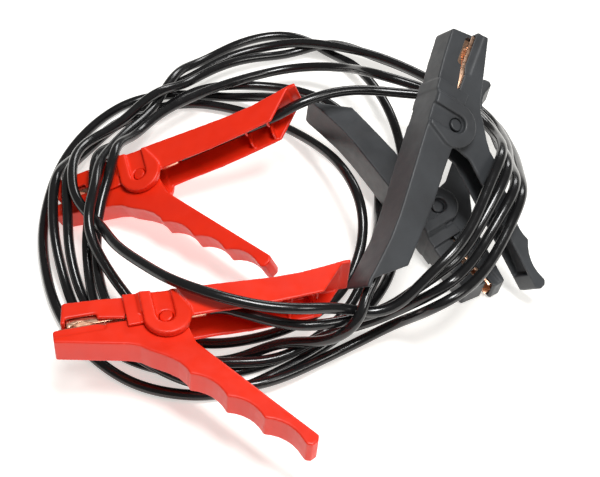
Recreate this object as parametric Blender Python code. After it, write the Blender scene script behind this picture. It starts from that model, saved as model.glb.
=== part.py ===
"""A set of vehicle jumper leads: two cables in one loose coil, with four spring clamps.

Metres, +Z up. The set lies on a flat surface at z = 0. Each clamp is drawn in its own
frame: the origin is the middle of its pivot, X runs from the jaws to the cable end,
Y runs from the sprung lower handle to the back of the upper handle, and Z is across.
Each lead is drawn through its own route points, and is then eased apart from the other
strands and clear of the clamps, with room for each lower handle to be squeezed.
"""
import math

import bpy
import numpy as np
from mathutils import Matrix, Vector

MM = 0.001

# ---- driving dimensions, in millimetres --------------------------------------
PIVOT_RADIUS = 3.5          # moulded trunnion of the lower handle
PIVOT_CLEARANCE = 0.4
TRUNNION_HALF = 12.3        # the trunnion's ends sit in the recess of each ear
EAR_RADIUS = 12.6
EAR_HALF = 13.0
EAR_FRONT = -11.5
RECESS_HALF_WIDTH = 5.0
RECESS_FLOOR = 11.9
UPPER_NOSE_HALF = 8.5
UPPER_RIB_HALF = 10.4
UPPER_HANDLE_HALF = 11.5
UPPER_NOSE_INNER = 6.5
UPPER_RIB_INNER = 8.8
UPPER_HANDLE_INNER = 9.5
HANDLE_WALL = 2.2
LOWER_HALF = 7.9
LOWER_INNER = 5.9
FINGER_DEPTH = 3.2          # how deep each finger scallop is cut
JAW_HALF = 5.7
JAW_SHEET = 0.8
CORE_RADIUS = 2.0
CORE_END_GAP = 1.1          # the bare strands end this far inside the cable's cut end
BARREL_INNER = 2.35
BARREL_OUTER = 3.2
BARREL_AXIS_Y = 7.6
BARREL_SPAN = (11.0, 22.0)
CABLE_DIAMETER = 6.0
CABLE_START_X = 24.5
CABLE_RISE_X = 84.0         # the cable lies straight up to here, then rises to the tail
CABLE_TAIL_X = 104.0
CABLE_TAIL_Y = 9.6
GUIDE_PLACES = (67.0, 81.0)
GUIDE_HALF_THICKNESS = 0.8
GUIDE_CLEARANCE = 0.6
SPRING_WIRE = 1.8
SPRING_RADIUS = 5.3         # to the middle of the wire
SPRING_TURNS = 3
SPRING_REST_GAP = 0.4
SPRING_HALF = 4.4
SQUEEZE_RANGE = 32.0        # degrees the lower handle turns, from rest to fully squeezed

# ---- how the strands are kept apart, in millimetres ---------------------------
ROUTE_STEP = 5.0
STRAND_SPACING = 7.4
STRAND_CLEARANCE = 4.2      # from the cable's middle line to a clamp
LOWEST_CENTRE = 3.4         # the middle line stays this high above the surface
HELD_LENGTH = 85.0          # length held still inside a clamp's channel
HELD_SHORT = 30.0           # the same where the cable leaves its channel early
FREE_LENGTH = 105.0         # length near its own clamp that may lie inside it
EASING_ROUNDS = 250
CAD_STRIDE = 2              # route samples per drawn cable segment

RED = (0.80, 0.055, 0.020, 1.0)
CHARCOAL = (0.060, 0.062, 0.066, 1.0)
CABLE_BLACK = (0.012, 0.012, 0.013, 1.0)
COPPER = (0.72, 0.36, 0.20, 1.0)
STEEL = (0.55, 0.55, 0.56, 1.0)


# ---- shared helpers ----------------------------------------------------------
def clear_scene():
    for obj in list(bpy.data.objects):
        bpy.data.objects.remove(obj, do_unlink=True)


def material(name, color, roughness, metallic=0.0):
    mat = bpy.data.materials.new(name)
    mat.use_nodes = True
    shader = mat.node_tree.nodes["Principled BSDF"]
    shader.inputs["Base Color"].default_value = color
    shader.inputs["Roughness"].default_value = roughness
    shader.inputs["Metallic"].default_value = metallic
    return mat


def add_object(name, mesh, mat=None, parent=None):
    obj = bpy.data.objects.new(name, mesh)
    bpy.context.scene.collection.objects.link(obj)
    if mat:
        mesh.materials.clear()
        mesh.materials.append(mat)
    obj.parent = parent
    return obj


def prism(outline, half, z_low=None):
    """A closed prism of an outline in millimetres, from z_low (or -half) to half."""
    low = -half if z_low is None else z_low
    area = sum(a[0] * b[1] - b[0] * a[1] for a, b in zip(outline, outline[1:] + outline[:1]))
    points = outline if area > 0 else outline[::-1]
    count = len(points)
    verts = [(x * MM, y * MM, z * MM) for z in (low, half) for x, y in points]
    faces = [tuple(reversed(range(count))), tuple(range(count, 2 * count))]
    for i in range(count):
        j = (i + 1) % count
        faces.append((i, j, count + j, count + i))
    mesh = bpy.data.meshes.new("prism")
    mesh.from_pydata(verts, [], faces)
    return mesh


def arc(center, radius, start_deg, end_deg, steps):
    """Points on a circle, from one angle to the other."""
    points = []
    for i in range(steps + 1):
        angle = math.radians(start_deg + (end_deg - start_deg) * i / steps)
        points.append((center[0] + radius * math.cos(angle), center[1] + radius * math.sin(angle)))
    return points


def scallop(start, end, depth, steps=6):
    """A shallow arc from start to end, cut to the left of the way it runs."""
    chord = math.dist(start, end)
    along = ((end[0] - start[0]) / chord, (end[1] - start[1]) / chord)
    across = (-along[1], along[0])
    points = []
    for i in range(1, steps):
        t = i / steps
        rise = depth * 4.0 * t * (1.0 - t)
        points.append((start[0] + along[0] * chord * t + across[0] * rise,
                       start[1] + along[1] * chord * t + across[1] * rise))
    return points


def combine(base, others, operation):
    """Boolean of a mesh with others, one after another, as one plain mesh."""
    target = add_object("target", base)
    for other in others:
        tool = add_object("tool", other)
        boolean = target.modifiers.new("boolean", "BOOLEAN")
        boolean.operation = operation
        boolean.object = tool
        boolean.solver = "EXACT"
        graph = bpy.context.evaluated_depsgraph_get()
        result = bpy.data.meshes.new_from_object(target.evaluated_get(graph))
        target.modifiers.clear()
        target.data = result
        bpy.data.objects.remove(tool, do_unlink=True)
    mesh = target.data
    bpy.data.objects.remove(target, do_unlink=True)
    return mesh


def soften(obj, angle_deg=35.0):
    obj.data.shade_smooth()
    obj.data.set_sharp_from_angle(angle=math.radians(angle_deg))


def tube(name, points, radius, mat, parent=None, resolution=2):
    """A round rod or cable along points in metres, with closed ends."""
    curve = bpy.data.curves.new(name, "CURVE")
    curve.dimensions = "3D"
    curve.bevel_depth = radius
    curve.bevel_resolution = resolution
    curve.use_fill_caps = True
    spline = curve.splines.new("POLY")
    spline.points.add(len(points) - 1)
    for point, place in zip(spline.points, points):
        point.co = (place[0], place[1], place[2], 1.0)
    obj = bpy.data.objects.new(name, curve)
    bpy.context.scene.collection.objects.link(obj)
    curve.materials.append(mat)
    obj.parent = parent
    return obj


# ---- upper handle ------------------------------------------------------------
BACK_EDGE = [(-51.0, 20.3), (-49.5, 20.9), (-32.0, 19.9), (-10.0, 17.6), (20.0, 16.0), (45.0, 14.4),
             (62.0, 13.5), (75.0, 13.7), (90.0, 15.4), (101.0, 17.0), (104.5, 16.6)]
REAR_EDGE = [(103.6, 14.4), (98.8, 14.6), (84.0, -1.6)]
WALL_EDGE = [(84.0, -1.6), (65.0, -2.6), (45.0, -3.2), (25.0, -2.5), (12.0, -2.5)]


def back_height(x):
    """Height of the back of the upper handle at a place along the clamp."""
    return float(np.interp(x, [p[0] for p in BACK_EDGE], [p[1] for p in BACK_EDGE]))


def upper_handle_mesh():
    nose = [(-53.2, 8.0)] + BACK_EDGE[:4] + [(-9.0, 5.0), (-20.0, 5.0), (-34.0, 8.0)]
    handle = [(-13.0, 4.9), (-13.0, back_height(-13.0))] + BACK_EDGE[3:] + REAR_EDGE + WALL_EDGE[1:]
    rib_block = [(-19.8, -1.5), (-19.8, back_height(-19.8) + 0.35), (-13.4, back_height(-13.4) + 0.35),
                 (-13.4, -1.5)]
    bridge = [(-14.0, -1.2), (-14.0, back_height(-14.0)), (-10.0, back_height(-10.0)), (-10.0, -1.2)]
    ear = ([(EAR_FRONT, back_height(EAR_FRONT) - 0.3), (EAR_FRONT, -1.0)]
           + arc((0.8, 0.3), EAR_RADIUS, 186.0, 372.0, 14) + [(7.5, 15.6)])
    body = combine(prism(nose, UPPER_NOSE_HALF),
                   [prism(rib_block, UPPER_RIB_HALF), prism(bridge, UPPER_RIB_INNER + 1.2),
                    prism(handle, UPPER_HANDLE_HALF), prism(ear, EAR_HALF)], "UNION")
    nose_room = [(-50.8, 0.0), (-50.8, 18.4), (-33.0, 17.6), (-19.0, 16.2), (-19.0, 0.0)]
    rib_room = [(-20.4, -20.0), (-20.4, 4.4), (-19.4, 15.8), (-8.0, 15.0), (12.0, 14.0), (12.0, -20.0)]
    roof = [(x, back_height(x) - HANDLE_WALL) for x in (11.0, 20.0, 45.0, 62.0, 75.0, 90.0, 108.0)]
    handle_room = [(11.0, -20.0)] + roof + [(108.0, -20.0)]
    jaw_window = ([(-50.8, 0.0), (-50.8, 9.6)] + arc((-42.6, 3.6), 10.0, 125.0, 55.0, 5)
                  + [(-34.4, 9.6), (-34.4, 0.0)])
    recess = ([(-RECESS_HALF_WIDTH, 25.0)] + arc((0.0, 0.0), RECESS_HALF_WIDTH, 180.0, 360.0, 12)
              + [(RECESS_HALF_WIDTH, 25.0)])
    hole = arc((0.0, 0.0), PIVOT_RADIUS + PIVOT_CLEARANCE, 0.0, 345.0, 23)
    body = combine(body, [prism(nose_room, UPPER_NOSE_INNER), prism(rib_room, UPPER_RIB_INNER),
                          prism(handle_room, UPPER_HANDLE_INNER), prism(jaw_window, 20.0),
                          prism(recess, 20.0, RECESS_FLOOR), prism(recess, -RECESS_FLOOR, -20.0),
                          prism(hole, 20.0)], "DIFFERENCE")
    guides = []
    for x in GUIDE_PLACES:
        roof_height = back_height(x) - 1.2
        saddle = arc((0.0, cable_height(x)), CABLE_DIAMETER / 2 + GUIDE_CLEARANCE, 180.0, 0.0, 8)
        outline = ([(-UPPER_HANDLE_INNER - 0.8, -0.8), (-UPPER_HANDLE_INNER - 0.8, roof_height),
                    (UPPER_HANDLE_INNER + 0.8, roof_height), (UPPER_HANDLE_INNER + 0.8, -0.8),
                    (saddle[-1][0], -0.8)] + saddle[::-1] + [(saddle[0][0], -0.8)])
        guide = prism(outline, GUIDE_HALF_THICKNESS)
        guide.transform(Matrix.Translation((x * MM, 0.0, 0.0)) @ Matrix.Rotation(math.pi / 2, 4, "Y"))
        guides.append(guide)
    return combine(body, guides, "UNION")


# ---- lower handle ------------------------------------------------------------
CUSPS = [(5.2, -35.6), (20.4, -52.8), (35.4, -69.0), (50.8, -85.6)]


def lower_handle_mesh():
    outline = [(-57.7, 3.6), (-56.4, 4.6), (-36.0, 1.6), (-34.6, 0.4), (-27.3, 3.9), (-10.0, 3.9)]
    outline += arc((0.0, 0.0), 7.2, 140.0, 20.0, 8)
    outline += [(10.4, -6.0), (12.4, -17.2), (56.6, -80.8)]
    outline += [(58.8, -84.0), (57.6, -87.2), (54.2, -88.9), (51.6, -87.8)]
    for start, end in zip(CUSPS[::-1], CUSPS[-2::-1]):
        outline += [start] + scallop(start, end, -FINGER_DEPTH)
    outline += [CUSPS[0]]
    outline += [(4.4, -32.2), (1.2, -27.2), (-4.0, -22.6), (-11.6, -17.4), (-16.0, -13.6), (-21.0, -11.4),
                (-40.0, -6.8), (-57.9, -2.4)]
    room = [(-55.6, 12.0), (-55.6, -0.4), (-40.0, -4.4), (-21.0, -8.9), (-9.5, -15.8), (1.0, -23.8),
            (9.4, -32.4), (51.0, -78.4), (62.0, -72.0), (30.0, -15.0), (16.0, 12.0)]
    body = combine(prism(outline, LOWER_HALF), [prism(room, LOWER_INNER)], "DIFFERENCE")
    trunnion = prism(arc((0.0, 0.0), PIVOT_RADIUS, 0.0, 345.0, 23), TRUNNION_HALF)
    return combine(body, [trunnion], "UNION")


# ---- copper jaws -------------------------------------------------------------
def channel_mesh(flange_outline, web_outline):
    """A folded sheet: two flanges that stand on one web."""
    block = prism(flange_outline, JAW_HALF)
    return combine(block, [prism(web_outline, JAW_HALF - JAW_SHEET)], "DIFFERENCE")


def upper_jaw_mesh():
    teeth = [(-50.2, 6.9)] + arc((-42.6, 0.3), 9.6, 125.0, 55.0, 5) + [(-35.0, 6.9), (-21.0, 6.9)]
    flanges = teeth + [(-21.0, 12.6), (-50.2, 12.6)]
    inside = [(-60.0, 11.8), (-60.0, 0.0), (-10.0, 0.0), (-10.0, 11.8)]
    channel = channel_mesh(flanges, inside)
    barrel_low, barrel_high = BARREL_SPAN
    tail = [(-22.0, 11.8), (-22.0, 12.6), (barrel_low - 1.0, 12.6), (barrel_low + 1.0, 10.7),
            (barrel_high, 10.7), (barrel_high, 10.1), (barrel_low - 0.2, 10.1), (barrel_low - 1.6, 11.8)]
    barrel = round_bar(barrel_low, barrel_high, BARREL_OUTER)
    bore = round_bar(barrel_low - 3.0, barrel_high + 3.0, BARREL_INNER)
    joined = combine(channel, [prism(tail, 2.6), barrel], "UNION")
    return combine(joined, [bore], "DIFFERENCE")


def round_bar(x_low, x_high, radius, sides=16):
    """A short bar along the cable's line inside the upper handle."""
    outline = [(radius * math.cos(2 * math.pi * i / sides), radius * math.sin(2 * math.pi * i / sides))
               for i in range(sides)]
    bar = prism(outline, (x_high - x_low) / 2)
    middle = (x_high + x_low) / 2
    place = Matrix.Translation((middle * MM, BARREL_AXIS_Y * MM, 0.0))
    bar.transform(place @ Matrix.Rotation(math.pi / 2, 4, "Y"))
    return bar


def lower_jaw_mesh():
    flanges = [(-54.6, 0.6), (-54.6, 6.4), (-50.2, 6.4), (-35.0, 6.4), (-22.0, 6.4), (-20.0, 4.0),
               (-20.0, -7.4), (-40.0, -3.2)]
    inside = [(-60.0, 2.0), (-60.0, 20.0), (-10.0, 20.0), (-10.0, -8.8), (-19.0, -6.7), (-40.0, -2.3),
              (-53.6, 1.4)]
    return channel_mesh(flanges, inside)


# ---- spring ------------------------------------------------------------------
def tangent_angle(target, turn):
    """Angle on the coil where a straight leg to the target leaves it."""
    reach = math.hypot(target[0], target[1])
    heading = math.atan2(target[1], target[0])
    return heading + turn * math.acos(SPRING_RADIUS / reach)


def spring_points():
    """The wire from the leg on the upper handle, round the coil, to the leg on the lower."""
    upper_tip = (29.0, back_height(29.0) - HANDLE_WALL - SPRING_WIRE / 2 - SPRING_REST_GAP)
    lower_tip = (20.2, -42.2)
    start = tangent_angle(upper_tip, 1.0)
    end = tangent_angle(lower_tip, -1.0) - 2.0 * math.pi * SPRING_TURNS
    steps = 12 * SPRING_TURNS
    points = [(upper_tip[0], upper_tip[1], SPRING_HALF)]
    for i in range(steps + 1):
        t = i / steps
        angle = start + (end - start) * t
        points.append((SPRING_RADIUS * math.cos(angle), SPRING_RADIUS * math.sin(angle),
                       SPRING_HALF - 2.0 * SPRING_HALF * t))
    points.append((lower_tip[0], lower_tip[1], -SPRING_HALF))
    return [(x * MM, y * MM, z * MM) for x, y, z in points]


# ---- where the clamps lie: middle of the pivot, then the X and Y ways of each --
CLAMPS = {
    "red_front": ((-65.5, -60.4, 43.8), (0.964, 0.257, -0.069), (-0.258, 0.966, -0.004)),
    "red_rear": ((-87.5, 58.4, 26.6), (0.920, 0.225, 0.321), (-0.277, 0.953, 0.125)),
    "black_top": ((83.8, 45.1, 85.1), (-0.349, -0.864, -0.363), (-0.821, 0.095, 0.563)),
    "black_under": ((83.3, 38.8, 18.6), (-0.592, 0.785, 0.181), (-0.802, -0.597, -0.036)),
}

SET_SHIFT = np.array([1.16, -2.41, -0.26])   # puts the origin under the middle of the clamps

# ---- where the two leads run between their clamps, in millimetres -------------
LEAD_ENDS = {"red_lead": ("red_front", "red_rear"), "black_lead": ("black_top", "black_under")}
EARLY_EXIT = [(32.0, 6.6), (41.0, 1.6), (52.0, -5.0), (63.0, -11.0)]   # red_front's own cable
RED_ROUTE = [
    (10, -56, 40), (25, -51, 37), (41, -45, 36), (58, -40, 38), (68, -37, 44), (78, -34, 52),
    (93, -16, 56), (102, -2, 60), (109, 9, 66), (114, 21, 69), (117, 35, 67), (118, 54, 60), (118, 72, 53),
    (115, 89, 49), (107, 101, 47), (94, 111, 47), (76, 119, 48), (66, 125, 47), (57, 127, 49),
    (36, 152, 33), (16, 166, 22), (-6, 168, 18), (-29, 160, 18), (-51, 148, 20), (-69, 134, 22),
    (-84, 119, 25), (-96, 102, 27), (-105, 80, 34), (-109, 57, 39), (-112, 39, 35), (-113, 26, 28),
    (-113, 10, 22), (-111, -5, 16), (-107, -23, 12), (-94, -41, 11), (-75, -53, 11), (-53, -59, 11),
    (-31, -59, 11), (-10, -53, 11), (12, -45, 13), (34, -40, 17), (50, -37, 22), (61, -37, 29),
    (71, -38, 38), (81, -37, 47), (96, -21, 50), (108, -4, 55), (116, 11, 59), (122, 27, 58),
    (125, 51, 49), (128, 81, 36), (127, 105, 24), (124, 124, 17), (115, 137, 16), (103, 149, 16),
    (83, 164, 17), (61, 179, 17), (38, 189, 17), (14, 196, 15), (-10, 198, 12), (-31, 195, 10),
    (-53, 185, 9), (-73, 169, 8), (-90, 144, 10), (-103, 115, 16), (-112, 84, 24), (-115, 52, 32),
    (-118, 32, 28), (-118, 15, 21), (-116, -1, 13), (-110, -20, 10), (-96, -43, 10), (-77, -60, 11),
    (-55, -72, 11), (-33, -75, 11), (-15, -72, 10), (4, -62, 8), (26, -49, 7), (45, -41, 11),
    (59, -36, 18), (69, -37, 28), (77, -39, 38), (86, -39, 45), (99, -28, 45), (111, -13, 50),
    (119, 3, 54), (125, 16, 59), (129, 40, 50), (133, 74, 32), (132, 102, 19), (129, 125, 10),
    (119, 140, 8), (104, 155, 8), (84, 172, 9), (61, 187, 9), (35, 198, 9), (14, 200, 8), (-10, 193, 9),
    (-35, 185, 11), (-57, 171, 13), (-75, 151, 17), (-92, 130, 21), (-106, 113, 24), (-118, 100, 26),
    (-128, 87, 28), (-132, 72, 29), (-131, 55, 31), (-124, 36, 34), (-112, 15, 39), (-96, -7, 46),
    (-79, -25, 53), (-61, -43, 61), (-45, -50, 62), (-27, -56, 61), (-11, -57, 58), (4, -56, 55),
    (20, -54, 52), (35, -49, 49), (57, -40, 47), (68, -36, 50), (78, -31, 56), (86, -24, 63),
    (95, -10, 66), (102, 4, 70), (107, 16, 73), (111, 30, 75), (115, 49, 68), (116, 67, 60),
    (110, 82, 56), (102, 91, 57), (91, 99, 57), (72, 102, 57), (51, 104, 58), (34, 102, 61),
]
BLACK_ROUTE = [
    (33, -54, 42), (26, -56, 34), (16, -56, 26), (3, -53, 17), (-15, -53, 9), (-34, -54, 5),
    (-54, -54, 4), (-73, -50, 4), (-90, -43, 4), (-105, -32, 5), (-117, -16, 7), (-124, -1, 11),
    (-129, 14, 18), (-131, 30, 24), (-132, 52, 27), (-130, 74, 25), (-123, 98, 20), (-111, 115, 18),
    (-95, 130, 16), (-77, 144, 14), (-58, 155, 12), (-36, 160, 10), (-16, 161, 9), (4, 157, 8),
    (20, 149, 8), (35, 132, 8), (41, 121, 8), (46, 111, 8), (49, 97, 9), (51, 85, 9), (53, 72, 9),
    (53, 59, 9), (52, 42, 14), (49, 26, 18), (44, 6, 17), (37, -11, 12), (28, -26, 8), (14, -40, 5),
    (-3, -51, 4), (-21, -58, 4), (-37, -62, 4), (-56, -62, 4), (-75, -58, 4), (-94, -50, 4),
    (-111, -36, 4), (-123, -19, 4), (-130, -3, 6), (-135, 10, 12), (-138, 21, 18), (-141, 38, 22),
    (-141, 51, 25), (-139, 80, 18), (-129, 106, 9), (-117, 126, 7), (-101, 139, 7), (-84, 147, 7),
    (-65, 148, 6), (-45, 144, 6), (-25, 137, 6), (-6, 124, 8), (10, 104, 16), (25, 76, 28), (35, 51, 33),
    (40, 32, 30), (40, 18, 22), (35, 3, 15), (28, -11, 12), (15, -24, 10), (-2, -35, 9), (-21, -42, 9),
    (-40, -46, 10), (-57, -45, 10), (-74, -37, 11), (-87, -23, 12), (-97, -13, 17), (-105, -4, 26),
    (-110, 7, 35), (-113, 21, 42), (-112, 40, 45), (-108, 71, 37), (-98, 110, 25), (-85, 147, 14),
    (-70, 177, 8), (-52, 199, 5), (-31, 212, 5), (-8, 217, 5), (14, 209, 6), (35, 186, 11), (50, 158, 16),
    (56, 144, 17), (60, 131, 18), (64, 119, 16), (66, 108, 13), (68, 96, 11), (68, 84, 9), (68, 72, 7),
    (67, 61, 5), (66, 49, 4), (64, 34, 4), (57, 9, 7), (50, -10, 9), (39, -25, 9), (26, -37, 6),
    (12, -46, 4), (-4, -58, 4), (-20, -68, 4), (-34, -74, 4), (-50, -76, 4), (-66, -74, 4), (-83, -70, 4),
    (-99, -60, 4), (-113, -48, 4), (-126, -32, 4), (-137, -12, 4), (-144, 10, 4), (-149, 32, 5),
    (-150, 57, 5), (-148, 82, 5), (-142, 106, 4), (-132, 126, 4), (-117, 144, 4), (-99, 156, 4),
    (-77, 161, 4), (-54, 157, 5), (-32, 150, 10), (-17, 137, 22),
]


def clamp_axes(name):
    """Middle of a clamp's pivot, and its three unit axes as columns."""
    place, x_way, y_way = CLAMPS[name]
    x_axis = np.array(x_way) / np.linalg.norm(x_way)
    y_axis = np.array(y_way) - x_axis * np.dot(x_axis, y_way)
    y_axis /= np.linalg.norm(y_axis)
    return np.array(place), np.stack([x_axis, y_axis, np.cross(x_axis, y_axis)], 1)


def turned(angle_deg):
    angle = math.radians(angle_deg)
    return np.array([[math.cos(angle), -math.sin(angle), 0.0],
                     [math.sin(angle), math.cos(angle), 0.0],
                     [0.0, 0.0, 1.0]])


# ---- cable inside a clamp ----------------------------------------------------
def cable_height(x):
    """Height of the cable's middle line inside the upper handle."""
    return float(np.interp(x, [CABLE_RISE_X, CABLE_TAIL_X], [BARREL_AXIS_Y, CABLE_TAIL_Y]))


def cable_in_clamp(name):
    """The cable's middle line from the crimp outwards, in world millimetres."""
    if name == "red_front":
        line = [(CABLE_START_X, BARREL_AXIS_Y)] + EARLY_EXIT
    else:
        line = [(x, cable_height(x)) for x in (CABLE_START_X, 44.0, 64.0, CABLE_RISE_X, CABLE_TAIL_X)]
    place, axes = clamp_axes(name)
    return [place + axes @ np.array([x, y, 0.0]) for x, y in line]


def smooth_route(route, step):
    """Points at an even step on a smooth curve (centripetal) through route points."""
    points = np.array(route, float)
    ends = np.vstack([2 * points[0] - points[1], points, 2 * points[-1] - points[-2]])
    fine = []
    for p0, p1, p2, p3 in zip(ends, ends[1:], ends[2:], ends[3:]):
        t1 = np.linalg.norm(p1 - p0) ** 0.5
        t2 = t1 + np.linalg.norm(p2 - p1) ** 0.5
        t3 = t2 + np.linalg.norm(p3 - p2) ** 0.5
        for t in np.linspace(t1, t2, 12, endpoint=False):
            a1 = ((t1 - t) * p0 + t * p1) / t1
            a2 = ((t2 - t) * p1 + (t - t1) * p2) / (t2 - t1)
            a3 = ((t3 - t) * p2 + (t - t2) * p3) / (t3 - t2)
            b1 = ((t2 - t) * a1 + t * a2) / t2
            b2 = ((t3 - t) * a2 + (t - t1) * a3) / (t3 - t1)
            fine.append(((t2 - t) * b1 + (t - t1) * b2) / (t2 - t1))
    fine.append(points[-1])
    fine = np.array(fine)
    lengths = np.concatenate([[0.0], np.cumsum(np.linalg.norm(np.diff(fine, axis=0), axis=1))])
    places = np.linspace(0.0, lengths[-1], int(round(lengths[-1] / step)) + 1)
    return np.stack([np.interp(places, lengths, fine[:, k]) for k in range(3)], 1)


# ---- blocks that stand for the clamps: middle x, y; half x, y, z; turn in degrees
UPPER_BLOCKS = [(-33.0, 12.2, 20.5, 8.8, 8.5, 0.0), (-16.6, 8.5, 3.4, 10.2, 10.4, 0.0),
                (0.8, 2.0, 12.6, 15.0, 13.0, 0.0), (58.0, 7.2, 46.5, 9.6, 11.5, 0.0)]
LOWER_BLOCKS = [(-33.5, -1.0, 24.5, 5.6, 7.9, -6.0), (-8.0, -7.5, 14.0, 9.5, 7.9, -30.0),
                (30.6, -51.6, 51.0, 9.0, 7.9, -49.2)]
SQUEEZE_STEPS = 5


def clamp_blocks():
    """Every block the strands keep clear of, the lower handle's at each squeeze step."""
    blocks = []
    for name in CLAMPS:
        place, axes = clamp_axes(name)
        poses = [(UPPER_BLOCKS, axes)]
        for squeeze in np.linspace(0.0, SQUEEZE_RANGE, SQUEEZE_STEPS):
            poses.append((LOWER_BLOCKS, axes @ turned(squeeze)))
        for group, way in poses:
            for x, y, half_x, half_y, half_z, turn in group:
                middle = place + way @ np.array([x, y, 0.0])
                blocks.append((name, middle, way @ turned(turn), np.array([half_x, half_y, half_z])))
    return blocks


def push_from_blocks(points, blocks, free):
    """Moves that carry points out of the blocks; free marks points of a clamp's own cable."""
    moves = np.zeros_like(points)
    for name, middle, axes, half in blocks:
        local = (points - middle) @ axes
        depth = np.abs(local) - half
        outside = np.maximum(depth, 0.0)
        distance = np.linalg.norm(outside, axis=1)
        need = STRAND_CLEARANCE - (distance + np.minimum(depth.max(1), 0.0))
        close = (need > 0.0) & ~free[name]
        if not close.any():
            continue
        way = outside / np.maximum(distance, 1e-6)[:, None] * np.sign(local)
        inside = distance <= 1e-6
        nearest = np.argmax(depth, axis=1)
        rows = np.arange(len(local))
        straight = np.zeros_like(local)
        straight[rows, nearest] = np.sign(local[rows, nearest])
        way[inside] = straight[inside]
        moves[close] += (way * need[:, None])[close] @ axes.T * 0.5
    return moves


def ease_leads(routes):
    """Ease the strands apart and clear of the clamps; gives each lead's samples back."""
    samples = [smooth_route(route, ROUTE_STEP) for route in routes.values()]
    starts = np.cumsum([0] + [len(s) for s in samples])
    points = np.vstack(samples)
    drawn = points.copy()
    held = np.zeros(len(points), bool)
    free = {name: np.zeros(len(points), bool) for name in CLAMPS}
    lead = np.zeros(len(points), int)
    for n, key in enumerate(routes):
        first, last = starts[n], starts[n + 1]
        near, far = LEAD_ENDS[key]
        start_held = HELD_SHORT if near == "red_front" else HELD_LENGTH
        held[first:first + int(start_held / ROUTE_STEP)] = True
        held[last - int(HELD_LENGTH / ROUTE_STEP):last] = True
        free[near][first:first + int(FREE_LENGTH / ROUTE_STEP)] = True
        free[far][last - int(FREE_LENGTH / ROUTE_STEP):last] = True
        lead[first:last] = n
    blocks = clamp_blocks()
    order = np.arange(len(points))
    apart = (lead[:, None] != lead[None, :]) | (np.abs(order[:, None] - order[None, :]) > 4)
    first_of, second_of = np.where(np.triu(apart, 1))
    kernel = np.array([1, 2, 3, 4, 3, 2, 1.0]) / 16.0
    for step in range(EASING_ROUNDS):
        if step % 20 == 0:
            gaps = np.linalg.norm(points[first_of] - points[second_of], axis=1)
            near_a = first_of[gaps < 14.0]
            near_b = second_of[gaps < 14.0]
        between = points[near_a] - points[near_b]
        gap = np.linalg.norm(between, axis=1)
        tight = gap < STRAND_SPACING
        pull = (STRAND_SPACING - gap[tight]) * 0.35 / np.maximum(gap[tight], 1e-6)
        shove = pull[:, None] * between[tight]
        moves = push_from_blocks(points, blocks, free)
        np.add.at(moves, near_a[tight], shove)
        np.add.at(moves, near_b[tight], -shove)
        for n in range(len(samples)):
            part = slice(starts[n], starts[n + 1])
            own = moves[part].copy()
            own[:3] = 0.0
            own[-3:] = 0.0
            spread = np.stack([np.convolve(own[:, k], kernel, "same") for k in range(3)], 1) * 1.4
            bend = np.zeros_like(own)
            bend[1:-1] = (points[part][:-2] + points[part][2:]) / 2 - points[part][1:-1]
            stiff = np.zeros_like(own)
            stiff[1:-1] = (bend[:-2] + bend[2:]) / 2 - bend[1:-1]
            moves[part] = spread - stiff * 0.22
        if step < EASING_ROUNDS * 0.8:
            moves += (drawn - points) * 0.01
        moves[held] = 0.0
        points = points + np.clip(moves, -2.0, 2.0)
        points[:, 2] = np.maximum(points[:, 2], LOWEST_CENTRE)
        points[held] = drawn[held]
    return {key: points[starts[n]:starts[n + 1]] for n, key in enumerate(routes)}


def lead_paths():
    """The middle line of each lead, in world millimetres."""
    routes = {}
    for key, points in (("red_lead", RED_ROUTE), ("black_lead", BLACK_ROUTE)):
        near, far = LEAD_ENDS[key]
        routes[key] = cable_in_clamp(near) + [np.array(p, float) for p in points] + cable_in_clamp(far)[::-1]
    return ease_leads(routes)


# ---- one clamp ---------------------------------------------------------------
def build_clamp(name, plastic, mats):
    place, axes = clamp_axes(name)
    pivot = bpy.data.objects.new(name + "_pivot", None)
    bpy.context.scene.collection.objects.link(pivot)
    pivot.matrix_world = Matrix.Translation(Vector(place + SET_SHIFT) * MM) @ Matrix(axes.tolist()).to_4x4()
    for suffix, mesh, mat in (("upper_handle", upper_handle_mesh(), plastic),
                              ("lower_handle", lower_handle_mesh(), plastic),
                              ("upper_jaw", upper_jaw_mesh(), mats["copper"]),
                              ("lower_jaw", lower_jaw_mesh(), mats["copper"])):
        soften(add_object(name + "_" + suffix, mesh, mat, pivot))
    tube(name + "_spring", spring_points(), SPRING_WIRE / 2 * MM, mats["steel"], pivot, resolution=1)
    core = [(x * MM, BARREL_AXIS_Y * MM, 0.0) for x in (BARREL_SPAN[0] - 1.0, CABLE_START_X - CORE_END_GAP)]
    tube(name + "_core", core, CORE_RADIUS * MM, mats["copper"], pivot)


def main():
    clear_scene()
    mats = {
        "red": material("red_plastic", RED, 0.38),
        "charcoal": material("charcoal_plastic", CHARCOAL, 0.55),
        "cable": material("cable_pvc", CABLE_BLACK, 0.28),
        "copper": material("copper_sheet", COPPER, 0.30, 1.0),
        "steel": material("spring_steel", STEEL, 0.35, 1.0),
    }
    for name in CLAMPS:
        plastic = mats["red"] if name.startswith("red") else mats["charcoal"]
        build_clamp(name, plastic, mats)
    for key, path in lead_paths().items():
        drawn = (np.vstack([path[:-1:CAD_STRIDE], path[-1:]]) + SET_SHIFT) * MM
        tube(key, drawn.tolist(), CABLE_DIAMETER / 2 * MM, mats["cable"])


main()
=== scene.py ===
"""The looks of the vehicle jumper leads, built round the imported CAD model.

Metres, +Z up. Each clamp is drawn in its own frame, in millimetres: the origin is the middle
of its pivot, X runs from the jaws to the cable end, Y from the sprung lower handle to the
back of the upper handle, and Z is across. The two leads follow the CAD model's own route.
"""
import math

import bpy
import numpy as np
from mathutils import Matrix, Vector


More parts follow.
